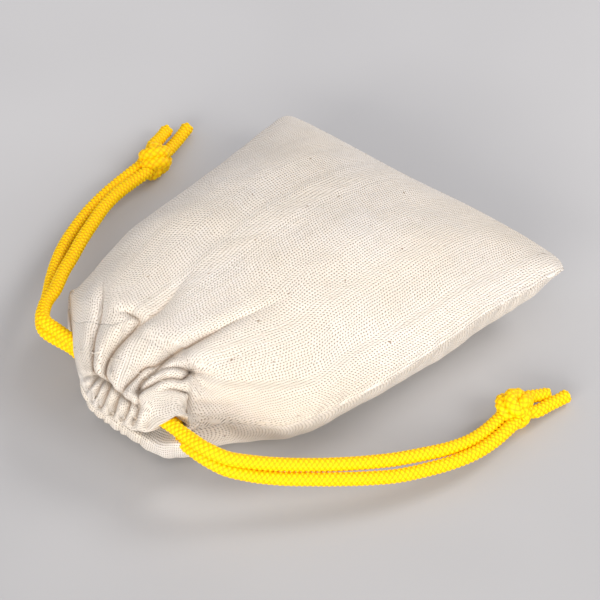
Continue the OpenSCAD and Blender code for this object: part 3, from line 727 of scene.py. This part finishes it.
ROWS.update({
    35: [(-30.0, -25.0, 8.8), (-29.8, -20.4, 15.0), (-24.8, -16.2, 20.8), (-17.6, -14.6, 23.4), (-8.8, -13.8, 24.4), (-2.8, -13.6, 24.5),
         (3.4, -13.6, 24.2), (11.6, -14.4, 22.6), (18.2, -16.4, 19.6), (23.2, -20.2, 15.0), (23.4, -23.6, 10.4)],
    47: [(-32.4, -9.6, 8.8), (-31.6, -6.6, 15.4), (-25.6, -4.4, 21.8), (-18.0, -3.4, 25.0), (-8.4, -3.0, 26.2), (-1.8, -3.0, 26.4),
         (4.8, -3.0, 26.0), (13.6, -3.4, 24.2), (20.6, -4.4, 20.8), (26.4, -6.8, 16.0), (28.6, -9.2, 11.4)],
    60: [(-33.4, 7.0, 8.8), (-32.0, 8.6, 15.0), (-26.0, 9.6, 21.4), (-18.2, 10.0, 24.6), (-8.0, 10.0, 26.0), (-1.2, 10.0, 26.1),
         (5.8, 10.0, 25.7), (15.0, 9.8, 23.8), (22.4, 9.2, 20.4), (28.5, 8.2, 16.0), (31.1, 6.9, 12.0)],
    72: [(-34.8, 21.0, 9.5), (-33.2, 21.6, 14.7), (-26.6, 22.0, 19.4), (-18.4, 22.2, 22.3), (-8.0, 22.3, 23.5), (-1.0, 22.3, 23.6),
         (6.0, 22.3, 23.2), (15.6, 22.2, 21.6), (23.0, 21.8, 18.8), (29.4, 21.2, 15.4), (32.0, 20.7, 12.3)],
    83: [(-35.8, 31.0, 10.4), (-34.2, 31.8, 13.7), (-27.2, 32.2, 16.7), (-18.6, 32.5, 18.4), (-8.0, 32.7, 19.2), (-.8, 32.8, 19.2),
         (6.2, 32.8, 18.9), (16.0, 32.5, 17.8), (23.8, 32.2, 16.0), (30.8, 31.7, 14.0), (33.5, 31.1, 12.4)],
    91: [(-36.2, 37.5, 10.9), (-34.9, 38.3, 12.3), (-27.4, 38.5, 13.4), (-18.8, 38.7, 14.2), (-8.0, 39.0, 14.6), (-.6, 39.2, 14.8),
         (6.4, 39.4, 14.9), (16.2, 39.6, 14.8), (24.2, 39.6, 14.3), (32.0, 39.2, 13.8), (34.9, 38.6, 12.9)],
    96.5: [(-35.8, 40.0, 10.2), (-34.6, 40.8, 10.4), (-28.0, 41.5, 10.5), (-19.0, 42.0, 10.6), (-8.0, 42.5, 10.8), (-.4, 42.9, 11.2),
           (6.6, 43.3, 11.7), (16.4, 43.6, 12.2), (24.6, 43.5, 12.6), (32.8, 42.8, 12.8), (35.5, 41.3, 12.8)],
})


def front_surface(ts, us):
    keys = sorted(ROWS)
    C = np.array([ROWS[k] for k in keys], float)
    # across first, with the columns' own spacing, then along
    rows = np.array([hermite(C[i], UCOLS, us) for i in range(len(keys))])
    return hermite(rows, keys, ts)


# fold lines on the front, in the camera's frame: points, depth (mm) at each point, half width, soft width, puff
FOLDS = [
    dict(p=[(106, 268), (103, 285), (102, 302), (99, 320), (93, 337), (91, 352), (90, 368), (94, 378)],
         d=[0.0, 0.5, 0.9, 1.1, 1.4, 1.7, 1.8, 1.2], w=0.85, soft=2.6, puff=0.6),
    dict(p=[(118, 311), (130, 313), (137.5, 318), (134, 326), (124, 337), (112.5, 350), (106, 362), (104.5, 377), (107.5, 384)],
         d=[0.3, 1.2, 1.5, 1.7, 1.9, 2.0, 2.0, 1.9, 1.2], w=0.75, soft=2.3, puff=0.6),
    dict(p=[(290, 296), (250, 313), (220, 328), (200, 338), (180, 350), (171, 354), (156, 363), (143, 367), (135, 375), (126, 384), (120, 393)],
         d=[0.0, 0.5, 1.1, 1.7, 2.2, 2.4, 1.9, 1.7, 1.9, 1.9, 1.0], w=0.7, soft=2.8, puff=0.55),
    dict(p=[(171, 354), (164, 359), (159, 365), (153, 371), (141, 380), (137, 388)], d=[1.2, 1.5, 1.5, 1.4, 1.6, 1.6], w=0.55, soft=1.2, puff=0.3),
    dict(p=[(137, 389), (147, 377), (160, 369.5), (172, 367), (184, 368), (191, 370)], d=[1.5, 1.0, 0.9, 0.9, 1.2, 1.6], w=0.45, soft=1.1, puff=0.3),
    dict(p=[(137, 391), (150, 385), (162, 379), (172, 377.5), (181, 378), (190, 371)], d=[1.7, 1.5, 1.2, 1.1, 1.2, 1.6], w=0.5, soft=1.3, puff=0.4),
    dict(p=[(190, 370), (203, 375), (216, 376), (232, 374)], d=[1.2, 0.7, 0.5, 0.0], w=0.9, soft=2.2, puff=0.3),
    dict(p=[(160, 391), (172, 388), (182, 391), (189, 394), (190, 402), (189, 414)], d=[0.3, 0.8, 1.0, 1.3, 1.5, 1.5], w=0.45, soft=1.2, puff=0.45),
    dict(p=[(137, 391), (138.5, 399), (138, 407), (135, 416), (131, 426)], d=[1.2, 1.0, 1.3, 1.6, 1.2], w=0.6, soft=1.5, puff=0.4),
    # the line the cord draws in, and the small lobes below it
    dict(p=[(78, 381), (84, 377), (94, 377), (106, 383), (118, 394), (129, 402), (138, 406)], d=[0.4, 0.8, 1.2, 1.3, 1.3, 1.2, 1.2], w=0.7, soft=1.6, puff=0.3),
    dict(p=[(93, 377), (91, 384), (86, 390), (82, 394)], d=[1.2, 1.4, 1.2, 0.6], w=0.45, soft=0.9, puff=0.3),
    dict(p=[(100, 380), (98, 390), (92, 399), (86, 404)], d=[1.0, 1.4, 1.4, 0.8], w=0.45, soft=0.9, puff=0.3),
    dict(p=[(107, 384), (106, 394), (102, 403), (97, 411)], d=[1.2, 1.6, 1.6, 1.0], w=0.5, soft=1.0, puff=0.3),
    dict(p=[(117, 394), (115, 404), (112, 413), (108, 420)], d=[1.2, 1.6, 1.7, 1.2], w=0.5, soft=1.1, puff=0.35),
    dict(p=[(128, 401), (127, 410), (123, 418), (118, 426)], d=[1.2, 1.5, 1.5, 1.0], w=0.5, soft=1.1, puff=0.35),
    # flap: a dart-like fold in its middle
    dict(p=[(152, 405), (150, 415), (146, 428)], d=[0.0, 0.5, 0.8], w=0.7, soft=1.6, puff=0.2),
    # soft folds on the body
    dict(p=[(196, 262), (182, 279), (168, 297), (152, 314), (138, 324)], d=[0.0, 0.5, 1.0, 1.3, 1.2], w=1.6, soft=3.4, puff=0.35),
    dict(p=[(84, 300), (80, 325), (80, 350), (83, 366)], d=[0.0, 0.4, 0.6, 0.4], w=1.0, soft=2.0, puff=0.2),
    dict(p=[(116, 345), (112, 360), (114, 376), (120, 384)], d=[0.0, 0.4, 0.7, 0.5], w=0.8, soft=1.6, puff=0.2),
    dict(p=[(250, 352), (226, 360), (206, 366)], d=[0.0, 0.4, 0.3], w=1.2, soft=2.8, puff=0.2),
    dict(p=[(262, 402), (232, 404), (208, 404), (196, 404)], d=[0.0, 0.5, 0.7, 0.6], w=0.8, soft=2.2, puff=0.2),
    dict(p=[(200, 384), (212, 392), (230, 396)], d=[0.6, 0.4, 0.0], w=0.8, soft=1.8, puff=0.2),
    # broad dents of the filled body
    dict(p=[(330, 200), (380, 235), (430, 262)], d=[0.0, 0.35, 0.0], w=4, soft=8, puff=0.0),
    dict(p=[(180, 225), (225, 235), (268, 238)], d=[0.0, 0.35, 0.0], w=3.5, soft=7, puff=0.0),
    dict(p=[(300, 395), (350, 372), (400, 345)], d=[0.0, 0.3, 0.0], w=3, soft=6, puff=0.0),
    dict(p=[(350, 300), (400, 280), (450, 262)], d=[0.0, 0.3, 0.0], w=4, soft=8, puff=0.0),
]


def polyline_distance(X, Y, pts):
    """signed distance (left of the walk is positive), place along it 0..n-1, and the direction there"""
    best = np.full(X.shape, 1e9)
    sd = np.zeros(X.shape)
    q = np.zeros(X.shape)
    dirx = np.zeros(X.shape)
    diry = np.zeros(X.shape)
    n = len(pts) - 1
    for i in range(n):
        ax, ay = pts[i]
        bx, by = pts[i + 1]
        L2 = (bx - ax) ** 2 + (by - ay) ** 2
        t = ((X - ax) * (bx - ax) + (Y - ay) * (by - ay)) / L2
        tc = np.clip(t, 0, 1)
        dx, dy = X - ax - tc * (bx - ax), Y - ay - tc * (by - ay)
        d = np.hypot(dx, dy)
        sgn = np.sign((bx - ax) * (Y - ay) - (by - ay) * (X - ax))
        m = d < best
        best[m] = d[m]
        sd[m] = (d * np.where(sgn == 0, 1, sgn))[m]
        over = np.where(i == 0, np.minimum(t, 0), 0) + np.where(i == n - 1, np.maximum(t - 1, 0), 0)
        q[m] = (i + tc)[m]
        L = math.sqrt(L2)
        dirx[m] = (bx - ax) / L
        diry[m] = (by - ay) / L
    return sd, best, q, dirx, diry


def smooth_line(pts, k=6):
    P = np.array(pts, float)
    d = np.concatenate([[0], np.cumsum(np.linalg.norm(np.diff(P, axis=0), axis=1))])
    n = (len(P) - 1) * k
    s = np.interp(np.linspace(0, len(P) - 1, n + 1), np.arange(len(P)), d)
    return hermite(P, d, s)


def apply_folds(P, T):
    """Folds are cut away from the camera and puffed towards it, so they stay where they are drawn. Also gives a mask of
    painted shade along the fold valleys
    """
    X, Y = seen(P)
    N = grid_normals(P)
    facing = smooth01((N @ BACK + 0.05) / 0.45)
    disp = np.zeros(X.shape)
    fold_shade_mask = np.zeros(X.shape)
    for f in FOLDS:
        line = smooth_line(f["p"])
        k = (len(line) - 1) // (len(f["p"]) - 1)
        sd, dist, q, dx, dy = polyline_distance(X, Y, line)
        dist = dist / 5.2
        depth = np.interp(q / k, np.arange(len(f["d"])), f["d"])
        valley = 0.66 * np.exp(-(dist / (0.85 * f["w"])) ** 1.15) + 0.34 * np.exp(-(dist / f["soft"]) ** 2)
        puff = f["puff"] * (dist / f["soft"]) * np.exp(1 - (dist / f["soft"]) ** 2) * 0.5
        disp += 1.55 * depth * (puff - valley)
        # painted shade: a narrow mask along each fold's valley, later used to darken the cloth colour there
        fold_shade_mask = np.maximum(fold_shade_mask, np.clip(depth, 0, 2) / 2 * np.exp(-(dist / 0.30) ** 1.6))
    disp = np.where(disp < -2.4, -2.4 + (disp + 2.4) * 0.4, disp)
    mask = smooth01((T + 0.6) / 2.0) * facing
    way = 0.55 * BACK + 0.45 * N
    return P + way * (disp * mask)[..., None], fold_shade_mask * mask


# gathers of the front hem: places of the valleys across, and how deep and long each is
GATHERS = [(-1.02, 0.25, 5), (-0.86, 0.3, 5), (-0.72, 0.3, 5), (-0.56, 0.3, 5), (-0.40, 0.35, 5), (-0.22, 0.35, 5),
           (-0.02, 0.35, 5), (0.2, 0.3, 5), (0.5, 0.2, 5), (0.8, 0.2, 5)]


def gather(P, T, U, table, flare=1.0):
    """Rounded lobes with sharp valleys between them, deepest at the mouth edge"""
    N = grid_normals(P)
    us = np.array([g[0] for g in table] + [1.06])
    dep = np.array([g[1] for g in table] + [0.12])
    lng = np.array([g[2] for g in table] + [8.0])
    wob = U + 0.012 * np.sin(T * 0.55 + U * 9) * smooth01(T / 5)
    i = np.clip(np.searchsorted(us, wob, side="right") - 1, 0, len(us) - 2)
    lo, hi = us[i], us[i + 1]
    f = (wob - lo) / (hi - lo)
    ridge = np.clip(np.sin(np.pi * np.clip(f, 0, 1)), 0, 1) ** 0.55        # 1 on a lobe, 0 in a valley
    near = np.where(f < 0.5, dep[i], dep[i + 1])
    reach = np.where(f < 0.5, lng[i], lng[i + 1])
    w = (hi - lo)
    amp = near * smooth01(1 - (np.maximum(T, 0) - 1.5) / reach)
    inner = smooth01((T + 7.0) / 5.0)
    d = amp * inner * (ridge - 0.62) * flare
    return P + N * d[..., None]


def arc_uv(P, j0, T):
    """cloth coordinates: millimetres across from the middle column, and along from the first row"""
    dx = np.linalg.norm(np.diff(P, axis=1), axis=2)
    a = np.concatenate([np.zeros((P.shape[0], 1)), np.cumsum(dx, axis=1)], axis=1)
    a -= a[:, j0:j0 + 1]
    full = smooth01((T[:, 0] - 16) / 26)[:, None]
    wide = np.where(a < 0, -a[:, :1], a[:, -1:])
    a = a * (1 + full * (38.0 / np.maximum(wide, 1) - 1))
    dy = np.linalg.norm(np.diff(P, axis=0), axis=2)
    b = np.concatenate([np.zeros((1, P.shape[1])), np.cumsum(dy, axis=0)], axis=0)
    bm = b[:, j0:j0 + 1]
    b = 0.75 * b + 0.25 * bm
    k = np.ones(9) / 9
    pad = np.pad(a, ((4, 4), (0, 0)), mode="edge")
    a = np.stack([np.convolve(pad[:, c], k, mode="valid") for c in range(a.shape[1])], -1)
    return np.stack([a, b], -1)


NU = 300
DT = 0.30
# columns: even in u, a little denser at the edges
lin = np.linspace(-1, 1, NU)
us = lin * (1 - 0.06 * (1 - lin ** 2))
ts = np.arange(-12.5, 96.5 + 1e-6, DT)
P = front_surface(ts, us)
Tg, Ug = np.meshgrid(ts, us, indexing="ij")
# fold edge: carry the cloth round to the underside
edge = P[-1]
prev = P[-6]
wrap = []
wfade = smooth01((1 - np.abs(us)) / 0.18)[:, None]        # the side seams' ends stay closed
out = edge - prev
out[:, 2] = 0
out /= np.maximum(np.linalg.norm(out, axis=1, keepdims=True), 1e-6)
for k, a in enumerate(np.radians([22, 45, 68, 90, 112, 132])):
    turned = out * (0.52 * math.sin(a) - 1.8 * max(0.0, a - math.pi / 2)) + V(0, 0, -1.5) * (1 - math.cos(a))
    wrap.append(edge + turned * wfade + (1 - wfade) * V(0, -0.05, -0.03) * (k + 1))
P = np.concatenate([P, np.array(wrap)], axis=0)
ts_all = np.concatenate([ts, 96.5 + 0.6 * np.arange(1, 7)])
Tg, Ug = np.meshgrid(ts_all, us, indexing="ij")
P = gather(P, Tg, Ug, GATHERS)
# crease holds the painted-shade mask of the fold valleys, stored as the cloth meshes' crease attribute
P, crease = apply_folds(P, Tg)
# the casing lies on the cord's two front runs, never through them
for lane_y in (-39.8, -36.8):
    top = 12.6 + np.sqrt(np.clip(1.85 ** 2 - (P[..., 1] - lane_y) ** 2, 0, None))
    on = (np.abs(P[..., 1] - lane_y) < 1.85) & (Tg > 0.8) & (Tg < 16) & (P[..., 0] > -8.5) & (P[..., 0] < 6.5)
    P[..., 2] = np.where(on, np.maximum(P[..., 2], top), P[..., 2])
# unevenness of a soft filled bag, and puckers along the side seams
N = grid_normals(P)
edge_fade = smooth01((1 - np.abs(Ug)) / 0.10)
body = smooth01((Tg - 16) / 12)
bumpy = 0.34 * value_noise(P[..., 0] / 9 + 20, P[..., 1] / 11 + 20, 3) + 0.16 * value_noise(P[..., 0] / 4.2 + 20, P[..., 1] / 5 + 20, 8)
pucker = 0.22 * np.exp(-((1 - np.abs(Ug)) / 0.06) ** 2) * np.sin(Tg * 2 * math.pi / 4.6 + 1.3 * np.sin(Tg * 0.31)) * smooth01((1 - np.abs(Ug)) / 0.015)
P = P + N * ((bumpy * body * edge_fade + pucker * smooth01((Tg - 20) / 6)) * smooth01((97 - Tg) / 3))[..., None]
uv = arc_uv(P, NU // 2, Tg)
front_full = P
SPLIT = int(np.searchsorted(ts_all, 18.0))
CLOTH_T = 0.45
hem = shell("front_hem", P[:SPLIT + 1], uv[:SPLIT + 1], CLOTH_T, MUSLIN, attrs={"crease": crease[:SPLIT + 1]})
# thin where the rows close up at the two bottom corners
corner = 0.12 + 0.88 * np.maximum(smooth01((1 - np.abs(Ug)) / 0.05), smooth01((96.0 - Tg) / 1.5))
body_front = shell("front_cloth", P[SPLIT:], uv[SPLIT:], CLOTH_T * corner[SPLIT:, :, None], MUSLIN, attrs={"crease": crease[SPLIT:]})
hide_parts("front_casing", "front_slit_hems")
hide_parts("front_panel")
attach(body_front, "pouch")

# ---- back cloth
BCOLS = [-1, -.94, -.82, -.6, -.3, 0, .3, .6, .82, .94, 1]


# how far in from the right seam the back's side lies at half height, near the floor, and on it
TUCK = {18: (-1.3, 1.8, 8.0), 25: (-1.2, 2.7, 9.2), 35: (1.0, 5.8, 11.6), 47: (2.2, 6.8, 12.7), 60: (2.2, 6.6, 13.0), 72: (2.0, 6.2, 12.5),
        83: (1.8, 6.0, 12.2), 91: (1.2, 5.0, 11.0), 96.5: (0, 3.6, 10.5)}


def back_rows():
    keys = sorted(k for k in ROWS if k >= 18)
    rows = {}
    low = {18: 0.25, 25: 0.1, 35: 0.0, 47: 0.0, 60: 0.0, 72: 0.0, 83: 2.0, 91: 6.2, 96.5: 9.4}
    bulge = {18: 0.8, 25: 0.9, 35: 1.0, 47: 1.1, 60: 1.0, 72: 0.9, 83: 0.6, 91: 0.3, 96.5: 0.0}
    for k in keys:
        L, R = np.array(ROWS[k][0], float), np.array(ROWS[k][-1], float)
        cy = ROWS[k][5][1]
        z0 = low[k]
        bl = bulge[k]
        if k == 96.5:
            rows[k] = [tuple(hermite(np.array(ROWS[k]), UCOLS, np.array([u]))[0] - V(0, 0.0, 1.2 * (1 - abs(u) ** 6))) for u in BCOLS]
            continue
        y = lambda u, yl: yl + (cy - yl) * (1 - abs(u) ** 3)
        out = []
        for u in BCOLS:
            if u in (-1, 1):
                e = L if u < 0 else R
                out.append(tuple(e))
                continue
            e = L if u < 0 else R
            sg = 1 if u < 0 else -1
            h = e[2] - z0
            if abs(u) > .9:
                out.append((e[0] + sg * (TUCK[k][0] if u > 0 else -0.35 * bl), y(u, e[1]), z0 + h * 0.48))
            elif abs(u) > .8:
                out.append((e[0] + sg * (TUCK[k][1] if u > 0 else 3.6), y(u, e[1]), z0 + h * 0.06))
            elif abs(u) > .5:
                out.append((e[0] + sg * (TUCK[k][2] if u > 0 else 10.5), y(u, e[1]), z0))
            else:
                mx = (L[0] + R[0]) / 2
                hw = (R[0] - L[0]) / 2
                out.append((mx + u * hw, y(u, e[1]), z0))
        rows[k] = out
    return rows


BROWS = back_rows()
BROWS.update({
    13: [V(*q) for q in ((-19.4, -34.6, 10.4), (-19.6, -34.8, 6.2), (-17.0, -34.2, 1.8), (-12.6, -33.4, 0.5), (-7.2, -32.8, 0.5), (-2.6, -32.6, 0.5),
                         (2.4, -32.8, 0.5), (7.6, -33.6, 1.0), (11.4, -34.6, 2.6), (13.6, -35.4, 5.0))] + [at(191, 434, 8.2)],
    6: [V(*q) for q in ((-16.6, -37.8, 9.4), (-16.8, -38.4, 5.8), (-15.2, -38.2, 1.8), (-11.2, -38.6, 0.8), (-6.4, -38.8, 0.7), (-2.2, -38.9, 0.7),
                        (2.6, -39.2, 0.9), (8.6, -39.2, 3.0), (10.8, -38.8, 4.6), (12.6, -38.4, 6.2), (13.4, -38.2, 7.6))],
    0: [at(*q) for q in ((81, 386, 7.6), (84, 395, 6.6), (91, 408, 5.4), (103, 418, 4.6), (117, 428.5, 4.2), (133, 438, 4.0),
                         (148, 446.5, 4.2))] + [V(8.2, -41.3, 5.4), V(10.4, -41.0, 7.2), V(12.0, -40.9, 8.4), V(12.9, -40.7, 9.0)],
    -2.4: [at(*q) for q in ((83, 383, 8.0), (86, 391, 7.4), (93, 401, 6.8), (103, 411, 6.4), (118, 422.5, 6.0), (134, 433, 5.8),
                            (149, 441, 6.0))] + [V(8.0, -41.4, 7.4), V(10.2, -41.3, 9.2), V(11.6, -41.1, 10.2), V(12.4, -40.8, 10.6)],
    -6: [at(*q) for q in ((84, 374, 8.2), (87, 380, 7.8), (95, 389, 7.2), (108, 399, 6.4), (124, 410, 5.6), (140, 421, 5.5),
                          (153, 428, 6.0))] + [V(7.6, -39.0, 8.3), V(9.6, -39.0, 9.9), V(10.8, -39.0, 10.3), V(11.4, -39.0, 10.4)],
    -12.5: [at(*q) for q in ((100, 352, 8.2), (102, 357, 7.8), (108, 366, 7.0), (121, 376, 6.0), (138, 388, 5.4), (154, 400, 5.6),
                             (165, 410, 6.4))] + [V(7.4, -34.2, 8.2), V(9.4, -34.4, 9.7), V(10.4, -34.4, 10.2), V(11.0, -34.4, 10.3)],
})
bk = sorted(BROWS)
C = np.array([BROWS[k] for k in bk], float)
NB = 280
lin = np.linspace(-1, 1, NB)
ub = lin + 0.0
bts = np.arange(-12.5, 96.5 + 1e-6, 0.35)
rows = np.array([hermite(C[i], BCOLS, ub) for i in range(len(bk))])
Q = hermite(rows, bk, bts)
Tb, Ub = np.meshgrid(bts, ub, indexing="ij")
BGATHERS = [(-1.02, 0.4, 6), (-0.88, 0.6, 7), (-0.76, 0.5, 8), (-0.58, 0.8, 9), (-0.47, 0.4, 8), (-0.25, 0.7, 10), (-0.12, 0.4, 8), (0.14, 0.5, 10),
            (0.45, 0.2, 9), (0.7, 0.12, 8)]
Nb = grid_normals(Q)
# outward is away from the pouch's middle: down on the underside
Q = Q[:, ::-1]
Ub = Ub[:, ::-1]
Tb = Tb[:, ::-1]
Q = gather(Q, Tb, Ub * 1.0, BGATHERS, flare=0.8)
Nb = grid_normals(Q)
fadeb = smooth01((1 - np.abs(Ub)) / 0.05)
rad = 0.35 * np.sin(Ub * 26 + 0.6 * np.sin(Ub * 9)) * smooth01(1 - (Tb - 14) / 26) * smooth01((Tb - 2) / 8)
wr = 0.30 * value_noise(Q[..., 0] / 7 + 30, Q[..., 1] / 8 + 30, 21) + 0.15 * value_noise(Q[..., 0] / 3.4 + 30, Q[..., 1] / 4 + 30, 22)
pk = 0.20 * np.exp(-((1 - np.abs(Ub)) / 0.07) ** 2) * np.sin(Tb * 2 * math.pi / 4.6 + 1.3 * np.sin(Tb * 0.31)) * smooth01((1 - np.abs(Ub)) / 0.015)
Q = Q + Nb * ((rad + wr - 0.2) * fadeb * smooth01((96.5 - Tb) / 4) * smooth01((Tb - 2) / 6) + pk * smooth01((Tb - 20) / 6))[..., None]
Q[..., 2] = np.where(Q[..., 2] < 0.05, 0.05 + 0.0 * Q[..., 2], Q[..., 2])
uvb = arc_uv(Q, NB // 2, Tb) + V(40.3, 11.7)
cornerb = 0.12 + 0.88 * np.maximum(smooth01((1 - np.abs(Ub)) / 0.05), smooth01((95.5 - Tb) / 1.5))
back = shell("back_cloth", Q, uvb, CLOTH_T * cornerb[..., None], MUSLIN)
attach(back, "pouch")
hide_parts("back_panel", "back_casing", "back_slit_hems")

# ------------------------------------------------------------------ stitches that follow the cloth
def stitch_row(name, P, rows, cols_from, cols_to, jrow, pitch, length, r=0.17, lift=0.05):
    """short stitches along one row of a grid"""
    line = P[jrow, cols_from:cols_to]
    Nn = grid_normals(P)[jrow, cols_from:cols_to]
    d = np.concatenate([[0], np.cumsum(np.linalg.norm(np.diff(line, axis=0), axis=1))])
    verts, quads, base = [], [], 0
    s0 = 1.0
    around = 10
    while s0 + length < d[-1] - 0.6:
        s = np.linspace(s0, s0 + length, 15)
        c = np.stack([np.interp(s, d, line[:, k]) for k in range(3)], -1)
        n = np.stack([np.interp(s, d, Nn[:, k]) for k in range(3)], -1)
        f = np.linspace(-1, 1, 15)
        dip = (np.abs(f) ** 4)
        c = c + n * (lift + r * 0.55 - 0.32 * dip)[:, None]
        T, A, B = frames(c, up=n[0])
        th = np.linspace(0, 2 * math.pi, around, endpoint=False)
        rr = r * np.sqrt(np.clip(1.02 - f ** 6, 0.02, 1))
        W = c[:, None] + rr[:, None, None] * (np.cos(th)[None, :, None] * A[:, None] + np.sin(th)[None, :, None] * B[:, None])
        idx = base + np.arange(15 * around).reshape(15, around)
        nx = np.roll(idx, -1, axis=1)
        quads.append(np.stack([idx[:-1], nx[:-1], nx[1:], idx[1:]], -1).reshape(-1, 4)[:, ::-1])
        verts.append(W.reshape(-1, 3))
        cap0 = base + 15 * around
        verts.append(c[[0, -1]])
        q0 = np.stack([idx[0], np.roll(idx[0], -1), np.full(around, cap0), np.full(around, cap0)], -1)
        base += 15 * around + 2
        caps_.append((name, idx[0].copy(), idx[-1].copy(), cap0))
        s0 += pitch
    tris = []
    for nm, a, b_, c0 in caps_:
        if nm == name:
            tris.append(np.stack([a, np.roll(a, -1), np.full(around, c0)], -1))
            tris.append(np.stack([b_, np.roll(b_, -1), np.full(around, c0 + 1)], -1)[:, ::-1])
    o = make_mesh(name, np.concatenate(verts), (np.concatenate(quads), np.concatenate(tris)), None, THREAD)
    return o


caps_ = []
jr = int(np.searchsorted(ts_all, 12.2))
fs = stitch_row("front_hem_stitches", front_full, None, 14, NU - 10, jr, 2.9, 2.0, r=0.13, lift=0.02)
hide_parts("front_casing_stitching")
jb = int(np.searchsorted(bts, 12.2))
bs = stitch_row("back_hem_stitches", Q, None, 14, NB - 14, jb, 2.9, 2.0, r=0.13, lift=0.02)
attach(bs, "pouch")
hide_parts("back_casing_stitching")

# seam allowances inside, along the visible seam line, with the seam's stitches
SEAM = {}
for side, col in (("left", 0), ("right", -1)):
    sg = -1 if side == "left" else 1
    k0, k1 = int(np.searchsorted(ts_all, 24)), int(np.searchsorted(ts_all, 85))
    line = front_full[k0:k1:2, col]
    s = np.concatenate([[0], np.cumsum(np.linalg.norm(np.diff(line, axis=0), axis=1))])
    prof = [(0.75, 0.10), (0.75, 0.35), (2.6, 0.42), (4.6, 0.55), (4.9, 0.30), (4.9, -0.05), (4.5, -0.42), (2.6, -0.42), (0.75, -0.35)]
    n = len(line)
    W = np.empty((n, len(prof), 3))
    for k, (dx, dz) in enumerate(prof):
        wav = 0.22 * np.sin(s * 1.1 + k * 0.3) * (dx > 2)
        W[:, k] = line + np.stack([np.full(n, -sg * dx) - sg * wav * 0.4, np.zeros(n), dz + 0.6 * wav + 0 * s], -1)
    m = len(prof)
    idx = np.arange(n * m).reshape(n, m)
    nx = np.roll(idx, -1, axis=1)
    q = np.stack([idx[:-1], nx[:-1], nx[1:], idx[1:]], -1).reshape(-1, 4)
    c0 = n * m
    vv = np.concatenate([W.reshape(-1, 3), W[0].mean(0)[None], W[-1].mean(0)[None]])
    t = np.concatenate([np.stack([idx[0], nx[0], np.full(m, c0)], -1)[:, ::-1], np.stack([idx[-1], nx[-1], np.full(m, c0 + 1)], -1)])
    uvw = np.zeros((len(vv), 2))
    uvw[:c0, 0] = np.tile([p[0] for p in prof], n) + 3.1
    uvw[:c0, 1] = np.repeat(s, m)
    if sg < 0:
        q, t = q[:, ::-1], t[:, ::-1]
    o = make_mesh(f"{side}_seam_allowance", vv, (q, t), uvw, MUSLIN_HEM)
    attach(o, "pouch")
    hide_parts(f"{side}_side_seam")
    G = np.stack([line + V(-sg * 1.6, 0, 0.50), line + V(-sg * 1.3, 0, 0.50), line + V(-sg * 1.0, 0, 0.50)], 0)
    if sg < 0:
        G = G[::-1]
    st = stitch_row(f"{side}_seam_stitches", G, None, 0, G.shape[1], 1, 3.0, 2.2, r=0.16, lift=-0.02)
    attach(st, "pouch")
    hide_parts(f"{side}_seam_stitching")

# bake the front hem's and its stitches' placement into their meshes
for o in (hem, fs):
    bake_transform(o)

# ------------------------------------------------------------------ floor and light
me = bpy.data.meshes.new("floor")
w = 1.5
me.from_pydata([(-w, -w, 0), (w, -w, 0), (w, w, 0), (-w, w, 0)], [], [(0, 1, 2, 3)])
floor = link(bpy.data.objects.new("floor", me))
fm, nt, b = nodes_of("floor")
tc = nt.nodes.new("ShaderNodeTexCoord")
n1 = noise(nt, tc.outputs["Object"], 14, 2, 0.5)
col = mixc(nt, ramp(nt, n1, 0.3, 0.7), (0.445, 0.440, 0.443), (0.468, 0.463, 0.466))
# painted light: the floor colour is paler towards the far side and darker towards the camera
far = nt.nodes.new("ShaderNodeVectorMath")
far.operation = "DOT_PRODUCT"
far.inputs[1].default_value = (-0.682, 0.731, 0)
nt.links.new(tc.outputs["Object"], far.inputs[0])
shade = ramp(nt, far.outputs["Value"], -0.085, 0.085, 0.905, 1.065)
floor_colour_painted_light = nt.nodes.new("ShaderNodeVectorMath")
floor_colour_painted_light.operation = "SCALE"
nt.links.new(col, floor_colour_painted_light.inputs[0])
nt.links.new(shade, floor_colour_painted_light.inputs[3])
nt.links.new(floor_colour_painted_light.outputs[0], b.inputs["Base Color"])
b.inputs["Roughness"].default_value = 0.75
b.inputs["Specular IOR Level"].default_value = 0.25
me.materials.append(fm)


def area_light(name, direction, dist, size, power, color, target=(0, 0, 0.01)):
    d = bpy.data.lights.new(name, "AREA")
    d.shape = "RECTANGLE"
    d.size, d.size_y = size
    d.energy = power
    d.color = color
    o = link(bpy.data.objects.new(name, d))
    direction = unit(np.array(direction, float))
    o.location = Vector(np.array(target) + direction * dist)
    o.rotation_euler = Vector(-direction).to_track_quat("-Z", "Y").to_euler()
    return o


e1 = math.radians(39)
area_light("key", (0.28 * math.cos(e1), 0.96 * math.cos(e1), math.sin(e1)), 0.9, (0.34, 0.30), 3.35, (1.0, 0.985, 0.97))
e2 = math.radians(33)
area_light("second", (0.90 * math.cos(e2), 0.44 * math.cos(e2) - 0.25, math.sin(e2)), 0.9, (0.40, 0.34), 2.8, (1.0, 0.965, 0.92))
area_light("fill", (0.42, -0.83, 0.30), 1.0, (1.0, 0.45), 11.6, (1.0, 0.97, 0.93))
world = bpy.data.worlds.new("world")
bpy.context.scene.world = world
world.use_nodes = True
world.node_tree.nodes["Background"].inputs[0].default_value = (0.90, 0.90, 0.95, 1)
world.node_tree.nodes["Background"].inputs[1].default_value = 0.66

bpy.context.scene.view_settings.view_transform = "Standard"
